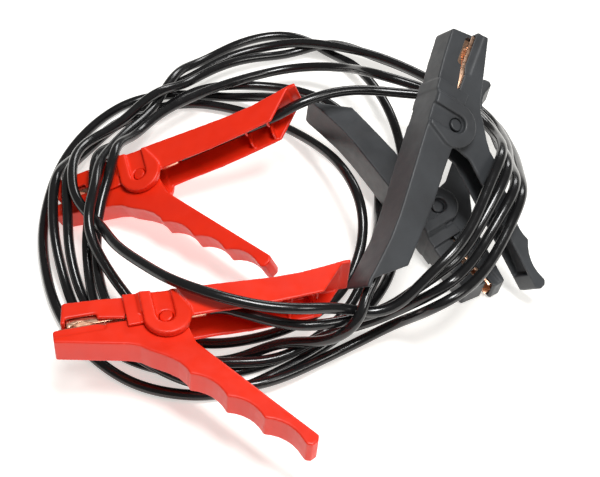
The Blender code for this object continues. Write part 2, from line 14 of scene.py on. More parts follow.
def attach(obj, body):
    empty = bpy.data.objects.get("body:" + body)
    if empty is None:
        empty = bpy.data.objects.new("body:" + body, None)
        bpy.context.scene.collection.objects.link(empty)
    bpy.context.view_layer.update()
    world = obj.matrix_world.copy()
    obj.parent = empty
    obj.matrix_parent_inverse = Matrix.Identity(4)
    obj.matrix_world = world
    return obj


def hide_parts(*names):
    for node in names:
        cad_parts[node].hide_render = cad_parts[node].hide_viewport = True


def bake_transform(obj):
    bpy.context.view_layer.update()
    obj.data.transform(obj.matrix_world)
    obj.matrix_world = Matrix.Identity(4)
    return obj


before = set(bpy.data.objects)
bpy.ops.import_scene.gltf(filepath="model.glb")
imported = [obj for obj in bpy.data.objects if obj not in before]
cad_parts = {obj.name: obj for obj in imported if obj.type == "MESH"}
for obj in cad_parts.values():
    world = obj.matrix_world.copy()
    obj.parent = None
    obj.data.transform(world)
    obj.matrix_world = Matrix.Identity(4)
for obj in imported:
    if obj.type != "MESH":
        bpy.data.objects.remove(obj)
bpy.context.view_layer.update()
MM = 0.001
HELD_BODY = "coil_and_upper_handles"

# ---- driving dimensions, in millimetres --------------------------------------
PIVOT_RADIUS = 3.5          # moulded trunnion of the lower handle
PIVOT_CLEARANCE = 0.4
TRUNNION_HALF = 12.3        # the trunnion's ends sit in the recess of each ear
EAR_RADIUS = 12.6
EAR_HALF = 13.0
EAR_FRONT = -11.5
RECESS_HALF_WIDTH = 5.0
RECESS_FLOOR = 10.6
UPPER_NOSE_HALF = 8.5
UPPER_RIB_HALF = 10.4
UPPER_HANDLE_HALF = 11.5
UPPER_NOSE_INNER = 6.5
UPPER_RIB_INNER = 8.8
UPPER_HANDLE_INNER = 9.5
HANDLE_WALL = 2.2
LOWER_HALF = 7.9
LOWER_INNER = 5.9
GROOVE_DEPTH = 0.7          # step along the lower nose
FINGER_DEPTH = 3.2          # how deep each finger scallop is cut
JAW_HALF = 5.7
JAW_SHEET = 0.8
CORE_RADIUS = 2.0
CORE_END_GAP = 1.1          # the bare strands end this far inside the cable's cut end
BARREL_INNER = 2.35
BARREL_OUTER = 3.2
BARREL_AXIS_Y = 7.6
BARREL_SPAN = (11.0, 22.0)
CABLE_DIAMETER = 6.0
CABLE_START_X = 24.5
CABLE_RISE_X = 84.0         # the cable lies straight up to here, then rises to the tail
CABLE_TAIL_X = 104.0
CABLE_TAIL_Y = 9.6
GUIDE_PLACES = (67.0, 81.0)
GUIDE_HALF_THICKNESS = 0.8
GUIDE_CLEARANCE = 0.6
SPRING_WIRE = 1.8
SPRING_RADIUS = 5.3         # to the middle of the wire
SPRING_TURNS = 3
SPRING_REST_GAP = 0.4
SPRING_HALF = 4.4
SQUEEZE_RANGE = 32.0        # degrees the lower handle turns, from rest to fully squeezed

# ---- how the strands are kept apart, in millimetres ---------------------------
ROUTE_STEP = 5.0
STRAND_SPACING = 7.4
STRAND_CLEARANCE = 4.2      # from the cable's middle line to a clamp
LOWEST_CENTRE = 3.4         # the middle line stays this high above the surface
HELD_LENGTH = 85.0          # length held still inside a clamp's channel
HELD_SHORT = 30.0           # the same where the cable leaves its channel early
FREE_LENGTH = 105.0         # length near its own clamp that may lie inside it
EASING_ROUNDS = 250


# ---- looks of the edges and the cable, in millimetres ---------------------------
HANDLE_VOXEL = 0.45         # cell of the remesh that rounds the moulded edges
HANDLE_PASSES = 12
HANDLE_SHARE = 0.30
SHEET_ROUND = 0.16          # rounding of the copper sheet's edges
SHARP_ANGLE = math.radians(35.0)
FINE_STEP = 2.5             # spacing of the drawn cable's points


# ---- camera and light -------------------------------------------------------------
CAMERA_PLACE = Vector((5.16, -428.41, 552.04)) * MM
CAMERA_DOWN = math.radians(50.0)
CAMERA_LENS = 72.0
SENSOR_WIDTH = 36.0
WORLD_COLOR = (1.0, 0.985, 0.96, 1.0)
WORLD_STRENGTH = 0.16
FLOOR_REACH = 12.0          # metres from the middle to the floor's edge
FLOOR_COLOR = (0.93, 0.92, 0.89, 1.0)
FLOOR_GLOW = (1.0, 0.985, 0.95, 1.0)
FLOOR_GLOW_STRENGTH = 0.55
# name, place, target, size (metres), power (watts), colour
LIGHTS = (
    ("key", (0.16, -0.14, 1.00), (0.0, 0.02, 0.0), (0.24, 0.40), 8.3, (1.0, 1.0, 1.0)),
    ("fill", (0.70, -0.50, 0.85), (0.0, 0.0, 0.0), (0.30, 0.30), 2.5, (1.0, 0.98, 0.95)),
    ("back", (0.35, 0.95, 0.55), (0.0, 0.0, 0.03), (0.60, 0.20), 3.0, (1.0, 1.0, 1.0)),
)


def add_camera():
    camera = bpy.data.objects.new("camera", bpy.data.cameras.new("camera"))
    bpy.context.scene.collection.objects.link(camera)
    camera.data.lens = CAMERA_LENS
    camera.data.sensor_width = SENSOR_WIDTH
    camera.location = CAMERA_PLACE
    camera.rotation_euler = (math.pi / 2 - CAMERA_DOWN, 0.0, 0.0)
    bpy.context.scene.camera = camera


def area_light(name, place, target, size, power, color):
    light = bpy.data.lights.new(name, "AREA")
    light.shape = "RECTANGLE"
    light.size, light.size_y = size
    light.energy = power
    light.color = color
    obj = bpy.data.objects.new(name, light)
    bpy.context.scene.collection.objects.link(obj)
    obj.location = place
    obj.rotation_euler = (Vector(target) - Vector(place)).to_track_quat("-Z", "Y").to_euler()


def light_the_set():
    scene = bpy.context.scene
    scene.view_settings.view_transform = "Standard"
    world = bpy.data.worlds.new("studio")
    world.use_nodes = True
    world.node_tree.nodes["Background"].inputs["Color"].default_value = WORLD_COLOR
    world.node_tree.nodes["Background"].inputs["Strength"].default_value = WORLD_STRENGTH
    scene.world = world
    for light in LIGHTS:
        area_light(*light)


def add_floor():
    mesh = bpy.data.meshes.new("floor")
    corners = [(x * FLOOR_REACH, y * FLOOR_REACH, 0.0) for x, y in ((-1, -1), (1, -1), (1, 1), (-1, 1))]
    mesh.from_pydata(corners, [], [(0, 1, 2, 3)])
    floor = add_object("floor", mesh)
    mat = bpy.data.materials.new("pale_floor")
    mat.use_nodes = True
    shader = mat.node_tree.nodes["Principled BSDF"]
    shader.inputs["Base Color"].default_value = FLOOR_COLOR
    shader.inputs["Roughness"].default_value = 0.75
    shader.inputs["Specular IOR Level"].default_value = 0.1
    shader.inputs["Emission Color"].default_value = FLOOR_GLOW
    shader.inputs["Emission Strength"].default_value = FLOOR_GLOW_STRENGTH
    mesh.materials.append(mat)


# ---- materials ----------------------------------------------------------------------
class Nodes:
    """A material's node tree, with short ways to add and join nodes."""

    def __init__(self, name):
        self.mat = bpy.data.materials.new(name)
        self.mat.use_nodes = True
        self.tree = self.mat.node_tree
        self.shader = self.tree.nodes["Principled BSDF"]
        self.place = self.tree.nodes.new("ShaderNodeTexCoord").outputs["Object"]

    def join(self, output, socket):
        self.tree.links.new(output, socket)

    def noise(self, scale, detail=3.0, stretch=None):
        node = self.tree.nodes.new("ShaderNodeTexNoise")
        node.inputs["Scale"].default_value = scale
        node.inputs["Detail"].default_value = detail
        place = self.place
        if stretch:
            mapping = self.tree.nodes.new("ShaderNodeMapping")
            mapping.inputs["Scale"].default_value = stretch
            self.join(place, mapping.inputs["Vector"])
            place = mapping.outputs["Vector"]
        self.join(place, node.inputs["Vector"])
        return node.outputs["Fac"]

    def spread(self, value, low, high, to_low, to_high):
        node = self.tree.nodes.new("ShaderNodeMapRange")
        for key, number in (("From Min", low), ("From Max", high), ("To Min", to_low), ("To Max", to_high)):
            node.inputs[key].default_value = number
        self.join(value, node.inputs["Value"])
        return node.outputs["Result"]

    def blend(self, factor, first, second):
        node = self.tree.nodes.new("ShaderNodeMix")
        node.data_type = "RGBA"
        self.join(factor, node.inputs["Factor"])
        for socket, value in ((node.inputs[6], first), (node.inputs[7], second)):
            if isinstance(value, tuple):
                socket.default_value = value
            else:
                self.join(value, socket)
        return node.outputs[2]

    def bump(self, height, strength, distance, below=None):
        node = self.tree.nodes.new("ShaderNodeBump")
        node.inputs["Strength"].default_value = strength
        node.inputs["Distance"].default_value = distance
        self.join(height, node.inputs["Height"])
        if below is not None:
            self.join(below, node.inputs["Normal"])
        return node.outputs["Normal"]

    def edges(self, low, high):
        """1 along raised edges and 0 elsewhere, from the mesh's own curvature."""
        geometry = self.tree.nodes.new("ShaderNodeNewGeometry")
        return self.spread(geometry.outputs["Pointiness"], low, high, 0.0, 1.0)


def moulded_plastic(name, color, shade, edge, roughness, grain_scale, grain_depth, coat):
    """Injection-moulded plastic: slow colour drift, fine grain and lighter, rubbed edges."""
    n = Nodes(name)
    drift = n.spread(n.noise(38.0, 4.0), 0.35, 0.65, 0.0, 1.0)
    body = n.blend(drift, color, shade)
    n.join(n.blend(n.edges(0.53, 0.62), body, edge), n.shader.inputs["Base Color"])
    smudge = n.spread(n.noise(160.0, 5.0), 0.3, 0.7, roughness - 0.05, roughness + 0.07)
    n.join(smudge, n.shader.inputs["Roughness"])
    waves = n.bump(n.noise(55.0, 2.0), 0.25, 0.0004)
    n.join(n.bump(n.noise(grain_scale, 2.0), 0.5, grain_depth, waves), n.shader.inputs["Normal"])
    n.shader.inputs["Coat Weight"].default_value = coat
    n.shader.inputs["Coat Roughness"].default_value = 0.22
    n.shader.inputs["IOR"].default_value = 1.45
    return n.mat


def cable_jacket():
    """Glossy black PVC, with the faint waviness of an extruded jacket and a little dust."""
    n = Nodes("cable_jacket")
    dust = n.spread(n.noise(420.0, 6.0), 0.62, 0.80, 0.0, 0.35)
    n.join(n.blend(dust, (0.0085, 0.0085, 0.009, 1.0), (0.035, 0.034, 0.033, 1.0)),
           n.shader.inputs["Base Color"])
    n.join(n.spread(n.noise(190.0, 4.0), 0.3, 0.7, 0.13, 0.24), n.shader.inputs["Roughness"])
    waves = n.bump(n.noise(120.0, 2.0), 0.22, 0.00035)
    n.join(n.bump(n.noise(2600.0, 2.0), 0.25, 0.00003, waves), n.shader.inputs["Normal"])
    n.shader.inputs["IOR"].default_value = 1.53
    return n.mat


def worn_metal(name, color, shade, roughness, stretch):
    """Rolled or drawn metal with fine streaks and a darker film in patches."""
    n = Nodes(name)
    film = n.spread(n.noise(230.0, 5.0), 0.42, 0.68, 0.0, 1.0)
    n.join(n.blend(film, color, shade), n.shader.inputs["Base Color"])
    streaks = n.noise(900.0, 3.0, stretch)
    n.join(n.spread(streaks, 0.3, 0.7, roughness - 0.08, roughness + 0.10), n.shader.inputs["Roughness"])
    n.join(n.bump(streaks, 0.15, 0.00001), n.shader.inputs["Normal"])
    n.shader.inputs["Metallic"].default_value = 1.0
    return n.mat


def make_materials():
    return {
        "red_plastic": moulded_plastic("moulded_red", (0.86, 0.028, 0.005, 1.0), (0.78, 0.022, 0.004, 1.0),
                                       (0.92, 0.050, 0.022, 1.0), 0.38, 1500.0, 0.00003, 0.0),
        "charcoal_plastic": moulded_plastic("moulded_charcoal", (0.050, 0.054, 0.059, 1.0),
                                            (0.036, 0.038, 0.041, 1.0), (0.100, 0.106, 0.112, 1.0),
                                            0.44, 1700.0, 0.00012, 0.0),
        "cable_pvc": cable_jacket(),
        "copper_sheet": worn_metal("copper_coated_sheet", (0.92, 0.60, 0.42, 1.0), (0.78, 0.44, 0.28, 1.0),
                                   0.30, (0.12, 1.0, 1.0)),
        "spring_steel": worn_metal("drawn_steel_wire", (0.62, 0.61, 0.60, 1.0), (0.40, 0.38, 0.36, 1.0),
                                   0.30, (1.0, 1.0, 0.15)),
    }


# ---- shared helpers ----------------------------------------------------------
def prism(outline, half, z_low=None):
    """A closed prism of an outline in millimetres, from z_low (or -half) to half."""
    low = -half if z_low is None else z_low
    area = sum(a[0] * b[1] - b[0] * a[1] for a, b in zip(outline, outline[1:] + outline[:1]))
    points = outline if area > 0 else outline[::-1]
    count = len(points)
    verts = [(x * MM, y * MM, z * MM) for z in (low, half) for x, y in points]
    faces = [tuple(reversed(range(count))), tuple(range(count, 2 * count))]
    for i in range(count):
        j = (i + 1) % count
        faces.append((i, j, count + j, count + i))
    mesh = bpy.data.meshes.new("prism")
    mesh.from_pydata(verts, [], faces)
    return mesh


def arc(center, radius, start_deg, end_deg, steps):
    """Points on a circle, from one angle to the other."""
    points = []
    for i in range(steps + 1):
        angle = math.radians(start_deg + (end_deg - start_deg) * i / steps)
        points.append((center[0] + radius * math.cos(angle), center[1] + radius * math.sin(angle)))
    return points


def scallop(start, end, depth, steps=6):
    """A shallow arc from start to end, cut to the left of the way it runs."""
    chord = math.dist(start, end)
    along = ((end[0] - start[0]) / chord, (end[1] - start[1]) / chord)
    across = (-along[1], along[0])
    points = []
    for i in range(1, steps):
        t = i / steps
        rise = depth * 4.0 * t * (1.0 - t)
        points.append((start[0] + along[0] * chord * t + across[0] * rise,
                       start[1] + along[1] * chord * t + across[1] * rise))
    return points


def add_object(name, mesh):
    obj = bpy.data.objects.new(name, mesh)
    bpy.context.scene.collection.objects.link(obj)
    return obj


def combine(base, others, operation):
    """Boolean of a mesh with others, one after another, as one plain mesh."""
    target = add_object("target", base)
    for other in others:
        tool = add_object("tool", other)
        boolean = target.modifiers.new("boolean", "BOOLEAN")
        boolean.operation = operation
        boolean.object = tool
        boolean.solver = "EXACT"
        graph = bpy.context.evaluated_depsgraph_get()
        result = bpy.data.meshes.new_from_object(target.evaluated_get(graph))
        target.modifiers.clear()
        target.data = result
        bpy.data.objects.remove(tool, do_unlink=True)
    mesh = target.data
    bpy.data.objects.remove(target, do_unlink=True)
    return mesh


# ---- upper handle ------------------------------------------------------------
BACK_EDGE = [(-51.0, 20.3), (-49.5, 20.9), (-32.0, 19.9), (-10.0, 17.6), (20.0, 16.0), (45.0, 14.4),
             (62.0, 13.5), (75.0, 13.7), (90.0, 15.4), (101.0, 17.0), (104.5, 16.6)]
REAR_EDGE = [(103.6, 14.4), (98.8, 14.6), (84.0, -1.6)]
WALL_EDGE = [(84.0, -1.6), (65.0, -2.6), (45.0, -3.2), (25.0, -2.5), (12.0, -2.5)]


def back_height(x):
    """Height of the back of the upper handle at a place along the clamp."""
    return float(np.interp(x, [p[0] for p in BACK_EDGE], [p[1] for p in BACK_EDGE]))


def upper_handle_mesh():
    nose = [(-53.2, 8.0)] + BACK_EDGE[:4] + [(-9.0, 5.0), (-20.0, 5.0), (-34.0, 8.0)]
    handle = [(-13.0, 4.9), (-13.0, back_height(-13.0))] + BACK_EDGE[3:] + REAR_EDGE + WALL_EDGE[1:]
    rib_block = [(-19.8, -1.5), (-19.8, back_height(-19.8) + 0.35), (-13.4, back_height(-13.4) + 0.35),
                 (-13.4, -1.5)]
    bridge = [(-14.0, -1.2), (-14.0, back_height(-14.0)), (-10.0, back_height(-10.0)), (-10.0, -1.2)]
    ear = ([(EAR_FRONT, back_height(EAR_FRONT) - 0.3), (EAR_FRONT, -1.0)]
           + arc((0.8, 0.3), EAR_RADIUS, 186.0, 372.0, 14) + [(7.5, 15.6)])
    body = combine(prism(nose, UPPER_NOSE_HALF),
                   [prism(rib_block, UPPER_RIB_HALF), prism(bridge, UPPER_RIB_INNER + 1.2),
                    prism(handle, UPPER_HANDLE_HALF), prism(ear, EAR_HALF)], "UNION")
    nose_room = [(-50.8, 0.0), (-50.8, 18.4), (-33.0, 17.6), (-19.0, 16.2), (-19.0, 0.0)]
    rib_room = [(-20.4, -20.0), (-20.4, 4.4), (-19.4, 15.8), (-8.0, 15.0), (12.0, 14.0), (12.0, -20.0)]
    roof = [(x, back_height(x) - HANDLE_WALL) for x in (11.0, 20.0, 45.0, 62.0, 75.0, 90.0, 108.0)]
    handle_room = [(11.0, -20.0)] + roof + [(108.0, -20.0)]
    jaw_window = [(-50.8, 0.0), (-50.8, 10.2), (-49.8, 11.0), (-35.4, 11.0), (-34.4, 10.2), (-34.4, 0.0)]
    recess = ([(-RECESS_HALF_WIDTH, 25.0)] + arc((0.0, 0.0), RECESS_HALF_WIDTH, 180.0, 360.0, 12)
              + [(RECESS_HALF_WIDTH, 25.0)])
    hole = arc((0.0, 0.0), PIVOT_RADIUS + PIVOT_CLEARANCE, 0.0, 345.0, 23)
    body = combine(body, [prism(nose_room, UPPER_NOSE_INNER), prism(rib_room, UPPER_RIB_INNER),
                          prism(handle_room, UPPER_HANDLE_INNER), prism(jaw_window, 20.0),
                          prism(recess, 20.0, RECESS_FLOOR), prism(recess, -RECESS_FLOOR, -20.0),
                          prism(hole, 20.0)], "DIFFERENCE")
    guides = []
    for x in GUIDE_PLACES:
        roof_height = back_height(x) - 1.2
        saddle = arc((0.0, cable_height(x)), CABLE_DIAMETER / 2 + GUIDE_CLEARANCE, 180.0, 0.0, 8)
        outline = ([(-UPPER_HANDLE_INNER - 0.8, -0.8), (-UPPER_HANDLE_INNER - 0.8, roof_height),
                    (UPPER_HANDLE_INNER + 0.8, roof_height), (UPPER_HANDLE_INNER + 0.8, -0.8),
                    (saddle[-1][0], -0.8)] + saddle[::-1] + [(saddle[0][0], -0.8)])
        guide = prism(outline, GUIDE_HALF_THICKNESS)
        guide.transform(Matrix.Translation((x * MM, 0.0, 0.0)) @ Matrix.Rotation(math.pi / 2, 4, "Y"))
        guides.append(guide)
    return combine(body, guides, "UNION")


# ---- lower handle ------------------------------------------------------------
CUSPS = [(5.2, -35.6), (20.4, -52.8), (35.4, -69.0), (50.8, -85.6)]


def lower_handle_mesh():
    outline = [(-57.7, 4.2), (-56.4, 5.2), (-35.0, 5.2), (-31.6, 3.9), (-10.0, 3.9)]
    outline += arc((0.0, 0.0), 7.2, 140.0, 20.0, 8)
    outline += [(10.4, -6.0), (12.4, -17.2), (56.6, -80.8)]
    outline += [(58.8, -84.0), (57.6, -87.2), (54.2, -88.9), (51.6, -87.8)]
    for start, end in zip(CUSPS[::-1], CUSPS[-2::-1]):
        outline += [start] + scallop(start, end, -FINGER_DEPTH)
    outline += [CUSPS[0]]
    outline += [(4.4, -32.2), (1.2, -27.2), (-4.0, -22.6), (-11.6, -17.4), (-16.0, -13.6), (-21.0, -11.4),
                (-40.0, -6.8), (-57.9, -2.4)]
    room = [(-55.6, 12.0), (-55.6, -0.4), (-40.0, -4.4), (-21.0, -8.9), (-9.5, -15.8), (1.0, -23.8),
            (9.4, -32.4), (51.0, -78.4), (62.0, -72.0), (30.0, -15.0), (16.0, 12.0)]
    body = combine(prism(outline, LOWER_HALF), [prism(room, LOWER_INNER)], "DIFFERENCE")
    trunnion = prism(arc((0.0, 0.0), PIVOT_RADIUS, 0.0, 352.5, 47), TRUNNION_HALF)
    body = combine(body, [trunnion], "UNION")
    groove = [(-70.0, 0.3), (-32.0, 0.3), (-30.4, 1.6), (-30.4, 12.0), (-70.0, 12.0)]
    beyond_end = [(-6.0, 9.9), (6.0, 12.6), (6.0, 20.0), (-6.0, 20.0)]   # X and Z past the slanted end
    cuts = []
    for side in (-1.0, 1.0):
        floor, beyond = sorted((side * (LOWER_HALF - GROOVE_DEPTH), side * 20.0))
        cuts.append(prism(groove, beyond, floor))
        slant = prism(beyond_end, 6.0)
        slant.transform(Matrix.Rotation(math.pi / 2, 4, "X"))
        slant.transform(Matrix.Scale(-side, 4, (0.0, 0.0, 1.0)))
        if side > 0:
            slant.flip_normals()
        cuts.append(slant)
    return combine(body, cuts, "DIFFERENCE")


# ---- copper jaws -------------------------------------------------------------
def channel_mesh(flange_outline, web_outline):
    """A folded sheet: two flanges that stand on one web."""
    block = prism(flange_outline, JAW_HALF)
    return combine(block, [prism(web_outline, JAW_HALF - JAW_SHEET)], "DIFFERENCE")


def upper_jaw_mesh():
    teeth = [(-50.2, 6.9)] + arc((-42.6, 0.3), 9.0, 132.0, 48.0, 12) + [(-35.0, 6.9), (-21.0, 6.9)]
    flanges = teeth + [(-21.0, 12.6), (-50.2, 12.6)]
    inside = [(-60.0, 11.8), (-60.0, 0.0), (-10.0, 0.0), (-10.0, 11.8)]
    channel = channel_mesh(flanges, inside)
    barrel_low, barrel_high = BARREL_SPAN
    tail = [(-22.0, 11.8), (-22.0, 12.6), (barrel_low - 1.0, 12.6), (barrel_low + 1.0, 10.7),
            (barrel_high, 10.7), (barrel_high, 10.1), (barrel_low - 0.2, 10.1), (barrel_low - 1.6, 11.8)]
    barrel = round_bar(barrel_low, barrel_high, BARREL_OUTER)
    bore = round_bar(barrel_low - 3.0, barrel_high + 3.0, BARREL_INNER)
    joined = combine(channel, [prism(tail, 2.6), barrel], "UNION")
    return combine(joined, [bore], "DIFFERENCE")


def round_bar(x_low, x_high, radius, sides=16):
    """A short bar along the cable's line inside the upper handle."""
    outline = [(radius * math.cos(2 * math.pi * i / sides), radius * math.sin(2 * math.pi * i / sides))
               for i in range(sides)]
    bar = prism(outline, (x_high - x_low) / 2)
    middle = (x_high + x_low) / 2
    place = Matrix.Translation((middle * MM, BARREL_AXIS_Y * MM, 0.0))
    bar.transform(place @ Matrix.Rotation(math.pi / 2, 4, "Y"))
    return bar


def lower_jaw_mesh():
    flanges = [(-54.6, 0.6), (-54.6, 6.4), (-50.2, 6.4), (-35.0, 6.4), (-22.0, 6.4), (-20.0, 4.0),
               (-20.0, -7.4), (-40.0, -3.2)]
    inside = [(-60.0, 2.0), (-60.0, 20.0), (-10.0, 20.0), (-10.0, -8.8), (-19.0, -6.7), (-40.0, -2.3),
              (-53.6, 1.4)]
    return channel_mesh(flanges, inside)


# ---- spring ------------------------------------------------------------------
def tangent_angle(target, turn):
    """Angle on the coil where a straight leg to the target leaves it."""
    reach = math.hypot(target[0], target[1])
    heading = math.atan2(target[1], target[0])
    return heading + turn * math.acos(SPRING_RADIUS / reach)


def spring_points():
    """The wire from the leg on the upper handle, round the coil, to the leg on the lower."""
    upper_tip = (29.0, back_height(29.0) - HANDLE_WALL - SPRING_WIRE / 2 - SPRING_REST_GAP)
    lower_tip = (20.2, -42.2)
    start = tangent_angle(upper_tip, 1.0)
    end = tangent_angle(lower_tip, -1.0) - 2.0 * math.pi * SPRING_TURNS
    steps = 12 * SPRING_TURNS
    points = [(upper_tip[0], upper_tip[1], SPRING_HALF)]
    for i in range(steps + 1):
        t = i / steps
        angle = start + (end - start) * t
        points.append((SPRING_RADIUS * math.cos(angle), SPRING_RADIUS * math.sin(angle),
                       SPRING_HALF - 2.0 * SPRING_HALF * t))
    points.append((lower_tip[0], lower_tip[1], -SPRING_HALF))
    return [(x * MM, y * MM, z * MM) for x, y, z in points]


# ---- where the clamps lie: middle of the pivot, then the X and Y ways of each --
CLAMPS = {
    "red_front": ((-65.5, -60.4, 43.8), (0.964, 0.257, -0.069), (-0.258, 0.966, -0.004)),
    "red_rear": ((-87.5, 58.4, 26.6), (0.920, 0.225, 0.321), (-0.277, 0.953, 0.125)),
    "black_top": ((83.8, 45.1, 85.1), (-0.349, -0.864, -0.363), (-0.821, 0.095, 0.563)),
    "black_under": ((83.3, 38.8, 18.6), (-0.592, 0.785, 0.181), (-0.802, -0.597, -0.036)),
}

SET_SHIFT = np.array([1.16, -2.41, -0.26])   # puts the origin under the middle of the clamps

# ---- where the two leads run between their clamps, in millimetres -------------
LEAD_ENDS = {"red_lead": ("red_front", "red_rear"), "black_lead": ("black_top", "black_under")}
EARLY_EXIT = [(32.0, 6.6), (41.0, 1.6), (52.0, -5.0), (63.0, -11.0)]   # red_front's own cable
RED_ROUTE = [
    (10, -56, 40), (25, -51, 37), (41, -45, 36), (58, -40, 38), (68, -37, 44), (78, -34, 52),
    (93, -16, 56), (102, -2, 60), (109, 9, 66), (114, 21, 69), (117, 35, 67), (118, 54, 60), (118, 72, 53),
    (115, 89, 49), (107, 101, 47), (94, 111, 47), (76, 119, 48), (66, 125, 47), (57, 127, 49),
    (36, 152, 33), (16, 166, 22), (-6, 168, 18), (-29, 160, 18), (-51, 148, 20), (-69, 134, 22),
    (-84, 119, 25), (-96, 102, 27), (-105, 80, 34), (-109, 57, 39), (-112, 39, 35), (-113, 26, 28),
    (-113, 10, 22), (-111, -5, 16), (-107, -23, 12), (-94, -41, 11), (-75, -53, 11), (-53, -59, 11),
    (-31, -59, 11), (-10, -53, 11), (12, -45, 13), (34, -40, 17), (50, -37, 22), (61, -37, 29),
    (71, -38, 38), (81, -37, 47), (96, -21, 50), (108, -4, 55), (116, 11, 59), (122, 27, 58),
    (125, 51, 49), (128, 81, 36), (127, 105, 24), (124, 124, 17), (115, 137, 16), (103, 149, 16),
    (83, 164, 17), (61, 179, 17), (38, 189, 17), (14, 196, 15), (-10, 198, 12), (-31, 195, 10),
    (-53, 185, 9), (-73, 169, 8), (-90, 144, 10), (-103, 115, 16), (-112, 84, 24), (-115, 52, 32),
    (-118, 32, 28), (-118, 15, 21), (-116, -1, 13), (-110, -20, 10), (-96, -43, 10), (-77, -60, 11),
    (-55, -72, 11), (-33, -75, 11), (-15, -72, 10), (4, -62, 8), (26, -49, 7), (45, -41, 11),
    (59, -36, 18), (69, -37, 28), (77, -39, 38), (86, -39, 45), (99, -28, 45), (111, -13, 50),
    (119, 3, 54), (125, 16, 59), (129, 40, 50), (133, 74, 32), (132, 102, 19), (129, 125, 10),
    (119, 140, 8), (104, 155, 8), (84, 172, 9), (61, 187, 9), (35, 198, 9), (14, 200, 8), (-10, 193, 9),
    (-35, 185, 11), (-57, 171, 13), (-75, 151, 17), (-92, 130, 21), (-106, 113, 24), (-118, 100, 26),
    (-128, 87, 28), (-132, 72, 29), (-131, 55, 31), (-124, 36, 34), (-112, 15, 39), (-96, -7, 46),
    (-79, -25, 53), (-61, -43, 61), (-45, -50, 62), (-27, -56, 61), (-11, -57, 58), (4, -56, 55),
    (20, -54, 52), (35, -49, 49), (57, -40, 47), (68, -36, 50), (78, -31, 56), (86, -24, 63),
    (95, -10, 66), (102, 4, 70), (107, 16, 73), (111, 30, 75), (115, 49, 68), (116, 67, 60),
    (110, 82, 56), (102, 91, 57), (91, 99, 57), (72, 102, 57), (51, 104, 58), (34, 102, 61),
]
BLACK_ROUTE = [
    (33, -54, 42), (26, -56, 34), (16, -56, 26), (3, -53, 17), (-15, -53, 9), (-34, -54, 5),
    (-54, -54, 4), (-73, -50, 4), (-90, -43, 4), (-105, -32, 5), (-117, -16, 7), (-124, -1, 11),
    (-129, 14, 18), (-131, 30, 24), (-132, 52, 27), (-130, 74, 25), (-123, 98, 20), (-111, 115, 18),
    (-95, 130, 16), (-77, 144, 14), (-58, 155, 12), (-36, 160, 10), (-16, 161, 9), (4, 157, 8),
    (20, 149, 8), (35, 132, 8), (41, 121, 8), (46, 111, 8), (49, 97, 9), (51, 85, 9), (53, 72, 9),
    (53, 59, 9), (52, 42, 14), (49, 26, 18), (44, 6, 17), (37, -11, 12), (28, -26, 8), (14, -40, 5),
    (-3, -51, 4), (-21, -58, 4), (-37, -62, 4), (-56, -62, 4), (-75, -58, 4), (-94, -50, 4),
    (-111, -36, 4), (-123, -19, 4), (-130, -3, 6), (-135, 10, 12), (-138, 21, 18), (-141, 38, 22),
    (-141, 51, 25), (-139, 80, 18), (-129, 106, 9), (-117, 126, 7), (-101, 139, 7), (-84, 147, 7),
    (-65, 148, 6), (-45, 144, 6), (-25, 137, 6), (-6, 124, 8), (10, 104, 16), (25, 76, 28), (35, 51, 33),
    (40, 32, 30), (40, 18, 22), (35, 3, 15), (28, -11, 12), (15, -24, 10), (-2, -35, 9), (-21, -42, 9),
    (-40, -46, 10), (-57, -45, 10), (-74, -37, 11), (-87, -23, 12), (-97, -13, 17), (-105, -4, 26),
    (-110, 7, 35), (-113, 21, 42), (-112, 40, 45), (-108, 71, 37), (-98, 110, 25), (-85, 147, 14),
    (-70, 177, 8), (-52, 199, 5), (-31, 212, 5), (-8, 217, 5), (14, 209, 6), (35, 186, 11), (50, 158, 16),
    (56, 144, 17), (60, 131, 18), (64, 119, 16), (66, 108, 13), (68, 96, 11), (68, 84, 9), (68, 72, 7),
    (67, 61, 5), (66, 49, 4), (64, 34, 4), (57, 9, 7), (50, -10, 9), (39, -25, 9), (26, -37, 6),
    (12, -46, 4), (-4, -58, 4), (-20, -68, 4), (-34, -74, 4), (-50, -76, 4), (-66, -74, 4), (-83, -70, 4),
    (-99, -60, 4), (-113, -48, 4), (-126, -32, 4), (-137, -12, 4), (-144, 10, 4), (-149, 32, 5),
    (-150, 57, 5), (-148, 82, 5), (-142, 106, 4), (-132, 126, 4), (-117, 144, 4), (-99, 156, 4),
    (-77, 161, 4), (-54, 157, 5), (-32, 150, 10), (-17, 137, 22),
]


def clamp_axes(name):
    """Middle of a clamp's pivot, and its three unit axes as columns."""
    place, x_way, y_way = CLAMPS[name]
    x_axis = np.array(x_way) / np.linalg.norm(x_way)
    y_axis = np.array(y_way) - x_axis * np.dot(x_axis, y_way)
    y_axis /= np.linalg.norm(y_axis)
    return np.array(place), np.stack([x_axis, y_axis, np.cross(x_axis, y_axis)], 1)


def turned(angle_deg):
    angle = math.radians(angle_deg)
    return np.array([[math.cos(angle), -math.sin(angle), 0.0],
                     [math.sin(angle), math.cos(angle), 0.0],
                     [0.0, 0.0, 1.0]])


# ---- cable inside a clamp ----------------------------------------------------
def cable_height(x):
    """Height of the cable's middle line inside the upper handle."""
    return float(np.interp(x, [CABLE_RISE_X, CABLE_TAIL_X], [BARREL_AXIS_Y, CABLE_TAIL_Y]))


def cable_in_clamp(name):
    """The cable's middle line from the crimp outwards, in world millimetres."""
    if name == "red_front":
        line = [(CABLE_START_X, BARREL_AXIS_Y)] + EARLY_EXIT
    else:
        line = [(x, cable_height(x)) for x in (CABLE_START_X, 44.0, 64.0, CABLE_RISE_X, CABLE_TAIL_X)]
    place, axes = clamp_axes(name)
    return [place + axes @ np.array([x, y, 0.0]) for x, y in line]


